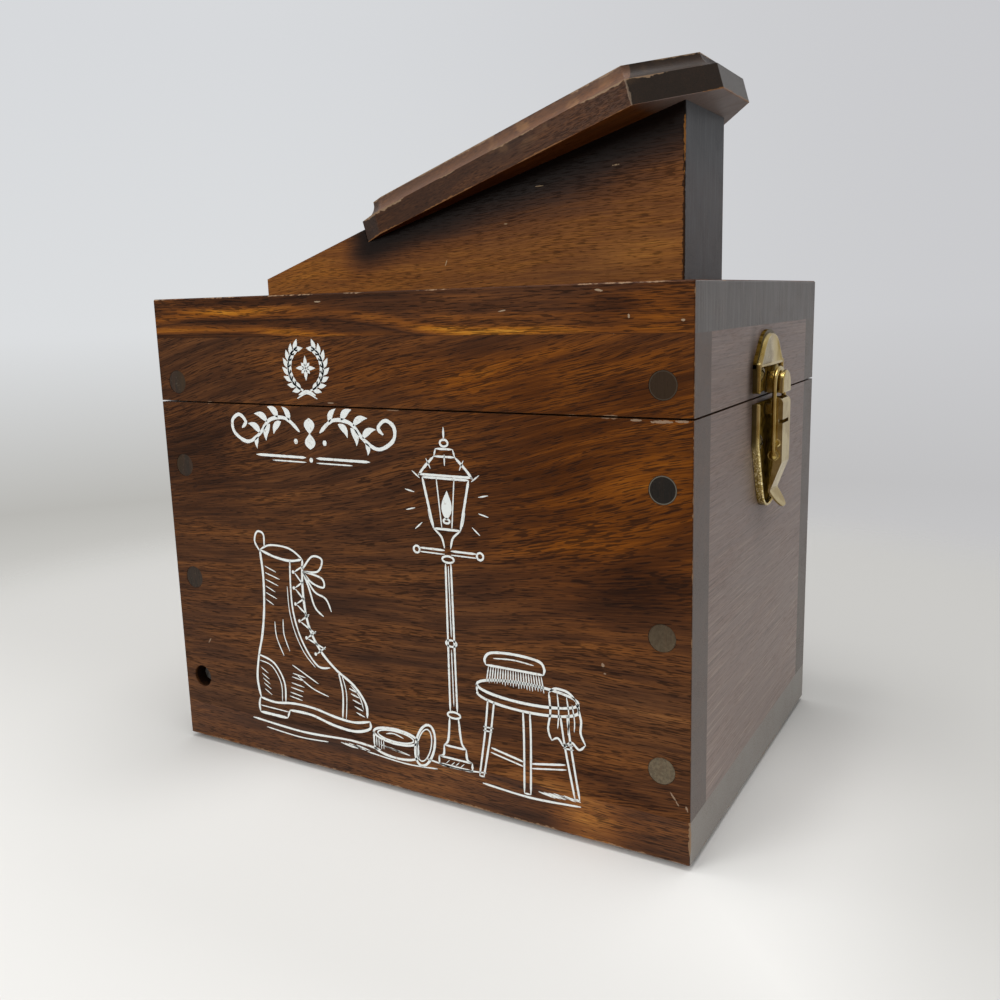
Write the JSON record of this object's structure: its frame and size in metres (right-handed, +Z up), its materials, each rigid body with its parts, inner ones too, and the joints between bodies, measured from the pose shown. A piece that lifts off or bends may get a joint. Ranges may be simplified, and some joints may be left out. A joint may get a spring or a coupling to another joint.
{
  "type": "wooden shoe shine box",
  "caption": "Plank box with a hinged lid that carries a sloping wooden footrest, held shut by a draw latch.",
  "frame": {"origin": "middle of the case's plan, on the surface that the feet stand on", "axes": "+X points to the latch end, -Y to the decorated front, +Z up; the hinges are at the -X end"},
  "size_m": [0.2954, 0.1928, 0.327],
  "materials": {
    "box_wood": "dark reddish brown stain, worn, satin varnish",
    "footrest_wood": "dark brown stain, worn pale at the edges",
    "plug_wood": "dark grey-brown plugs, face grain",
    "latch_brass": "aged stamped brass, satin",
    "latch_screw_brass": "aged domed slotted screw heads",
    "hinge_brass": "aged rolled brass",
    "screw_steel": "plain wood screws",
    "foot_rubber": "black rubber pads"
  },
  "bodies": {
    "case": {"bottom_board": "box_wood", "front_board": "box_wood", "back_board": "box_wood", "latch_end_panel": "box_wood", "hinge_end_panel": "box_wood", "front_screws": "screw_steel", "back_screws": "screw_steel", "front_plugs": "plug_wood", "back_plugs": "plug_wood", "bottom_screws": "screw_steel", "feet": "foot_rubber", "case_hinge_leaves": "hinge_brass", "hinge_pins": "hinge_brass", "case_leaf_screws": "hinge_brass", "latch_base": "latch_brass", "latch_base_screws": "latch_screw_brass", "lever_pin": "latch_brass"},
    "latch_lever": {"latch_lever": "latch_brass", "bail_rivet": "latch_brass"},
    "latch_bail": {"draw_bail": "latch_brass"},
    "lid": {"lid_top_board": "box_wood", "lid_front_board": "box_wood", "lid_back_board": "box_wood", "lid_latch_end": "box_wood", "lid_hinge_end": "box_wood", "lid_front_screws": "screw_steel", "lid_back_screws": "screw_steel", "lid_front_plugs": "plug_wood", "lid_back_plugs": "plug_wood", "footrest_riser": "footrest_wood", "footrest_plate": "footrest_wood", "riser_screws": "screw_steel", "footrest_screws": "screw_steel", "footrest_plugs": "plug_wood", "lid_hinge_leaves": "hinge_brass", "lid_leaf_screws": "hinge_brass", "latch_keeper": "latch_brass", "keeper_screws": "latch_screw_brass"}
  },
  "joints": [
    {"name": "lid_hinge", "type": "hinge", "parent": "case", "child": "lid", "pos_m": [-0.1429, 0, 0.1817], "axis": [0, -1, 0], "range_deg": [0, 180]},
    {"name": "latch_lever_pivot", "type": "hinge", "parent": "case", "child": "latch_lever", "pos_m": [0.1469, 0, 0.1786], "axis": [0, -1, 0], "range_deg": [0, 110]},
    {"name": "latch_bail_pivot", "type": "hinge", "parent": "latch_lever", "child": "latch_bail", "pos_m": [0.1462, 0, 0.1557], "axis": [0, -1, 0], "range_deg": [-110, 0]}
  ],
  "couplings": [
    {"joint": "latch_bail_pivot", "follows": "latch_lever_pivot", "ratio": -1}
  ]
}
